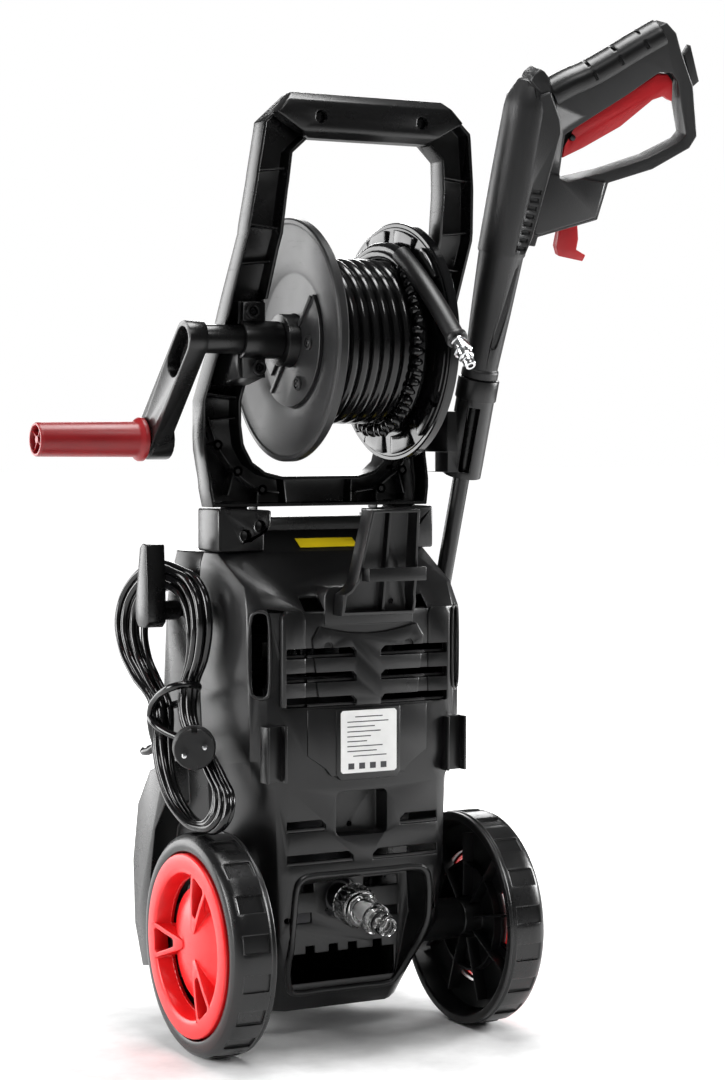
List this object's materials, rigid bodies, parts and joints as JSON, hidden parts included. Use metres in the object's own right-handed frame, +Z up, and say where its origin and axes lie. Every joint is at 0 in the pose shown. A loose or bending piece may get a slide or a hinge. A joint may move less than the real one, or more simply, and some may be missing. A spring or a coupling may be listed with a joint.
{
  "type": "pressure washer",
  "caption": "Upright electric pressure washer on two wheels with a hose reel in its handle frame, spray gun in a holster and hung power cord.",
  "frame": {"origin": "middle of the front foot's sole, on the floor", "axes": "+Z up, +Y forwards away from the user, +X to the right as seen by the user standing behind the handle"},
  "size_m": [0.5846, 0.3728, 0.937],
  "materials": {
    "black": "fine moulded texture",
    "satin": "satin moulded plastic",
    "gloss": "glossy moulded plastic",
    "red": "satin red plastic",
    "dark_red": "moulded red plastic",
    "rubber": "matte rubber",
    "tyre": "smooth hard tyre",
    "steel": "plated steel",
    "alloy": "cast alloy",
    "copper": "varnished winding",
    "clear": "clear plastic",
    "paper": "printed film",
    "yellow": "printed film"
  },
  "bodies": {
    "machine": {"rear_cover": "black", "front_cover": "satin", "rating_label": "paper", "warning_label": "yellow", "front_foot": "rubber", "handle_yoke": "satin", "handle_frame": "satin", "grip_cover": "satin", "grip_screw_left": "steel", "grip_screw_right": "steel", "reel_cap_left": "satin", "reel_cap_right": "satin", "accessory_holder": "black", "axle_left": "steel", "axle_right": "steel", "reel_swivel": "alloy", "hose_coil": "gloss", "hose_boot": "rubber", "hose_connector": "steel", "feed_hose": "rubber", "motor_housing": "alloy", "motor_winding": "copper", "pump_head": "alloy", "pump_outlet": "steel", "inlet_nut": "clear", "inlet_bowl": "clear", "inlet_filter": "paper", "inlet_o_ring": "rubber", "switch_box": "black", "cord_hank": "gloss", "power_plug": "rubber", "cord_gland": "rubber", "power_cord_lead": "gloss", "gun_holster": "black"},
    "wheel_left": {"wheel_left": "tyre", "wheel_cover_left": "red"},
    "wheel_right": {"wheel_right": "tyre", "wheel_cover_right": "red"},
    "reel": {"reel_drum": "satin", "reel_flange_left": "satin", "reel_flange_right": "gloss", "crank_shaft": "satin", "crank_arm": "black", "crank_pin": "steel"},
    "crank_grip": {"crank_grip": "dark_red"},
    "gun": {"gun_body": "satin", "gun_trigger_pin": "steel", "lance_tube": "satin", "lance_nozzle": "satin"},
    "trigger": {"gun_trigger": "red"},
    "release": {"gun_release": "red"},
    "safety": {"gun_safety": "satin"},
    "cord_hook": {"cord_hook": "satin"},
    "switch": {"switch_knob": "red"},
    "rotor": {"motor_rotor": "steel"}
  },
  "joints": [
    {"name": "wheel_left_spin", "type": "hinge", "parent": "machine", "child": "wheel_left", "pos_m": [-0.138, -0.148, 0.1], "axis": [1, 0, 0], "continuous": true},
    {"name": "wheel_right_spin", "type": "hinge", "parent": "machine", "child": "wheel_right", "pos_m": [0.138, -0.148, 0.1], "axis": [1, 0, 0], "continuous": true},
    {"name": "reel_spin", "type": "hinge", "parent": "machine", "child": "reel", "pos_m": [0, -0.1445, 0.638], "axis": [1, 0, 0], "continuous": true},
    {"name": "crank_grip_spin", "type": "hinge", "parent": "reel", "child": "crank_grip", "pos_m": [-0.2, -0.0565, 0.549], "axis": [1, 0, 0], "continuous": true},
    {"name": "gun_lift", "type": "slide", "parent": "machine", "child": "gun", "axis": [0.0387, -0.2637, 0.9638], "range_m": [0, 0.34]},
    {"name": "trigger_pull", "type": "hinge", "parent": "gun", "child": "trigger", "pos_m": [0.19888, -0.21515, 0.82723], "axis": [-0.2509, -0.9362, -0.2461], "range_deg": [0, 6], "stiffness_Nm_per_rad": 1.5, "springref_deg": -17.19},
    {"name": "release_slide", "type": "slide", "parent": "gun", "child": "release", "axis": [0.9672, -0.2323, -0.1024], "range_m": [0, 0.005], "stiffness_N_per_m": 400, "springref_m": -0.004},
    {"name": "safety_slide", "type": "slide", "parent": "gun", "child": "safety", "axis": [0.3869, 0.136, -0.912], "range_m": [0, 0.007]},
    {"name": "hook_swivel", "type": "hinge", "parent": "machine", "child": "cord_hook", "pos_m": [-0.15, -0.054, 0.392], "axis": [1, 0, 0], "range_deg": [0, 180]},
    {"name": "switch_turn", "type": "hinge", "parent": "machine", "child": "switch", "pos_m": [0, 0.04, 0.33], "axis": [0, 1, 0], "range_deg": [0, 90]},
    {"name": "rotor_spin", "type": "hinge", "parent": "machine", "child": "rotor", "pos_m": [0, -0.064, 0.28], "axis": [0, 0, 1], "continuous": true}
  ]
}
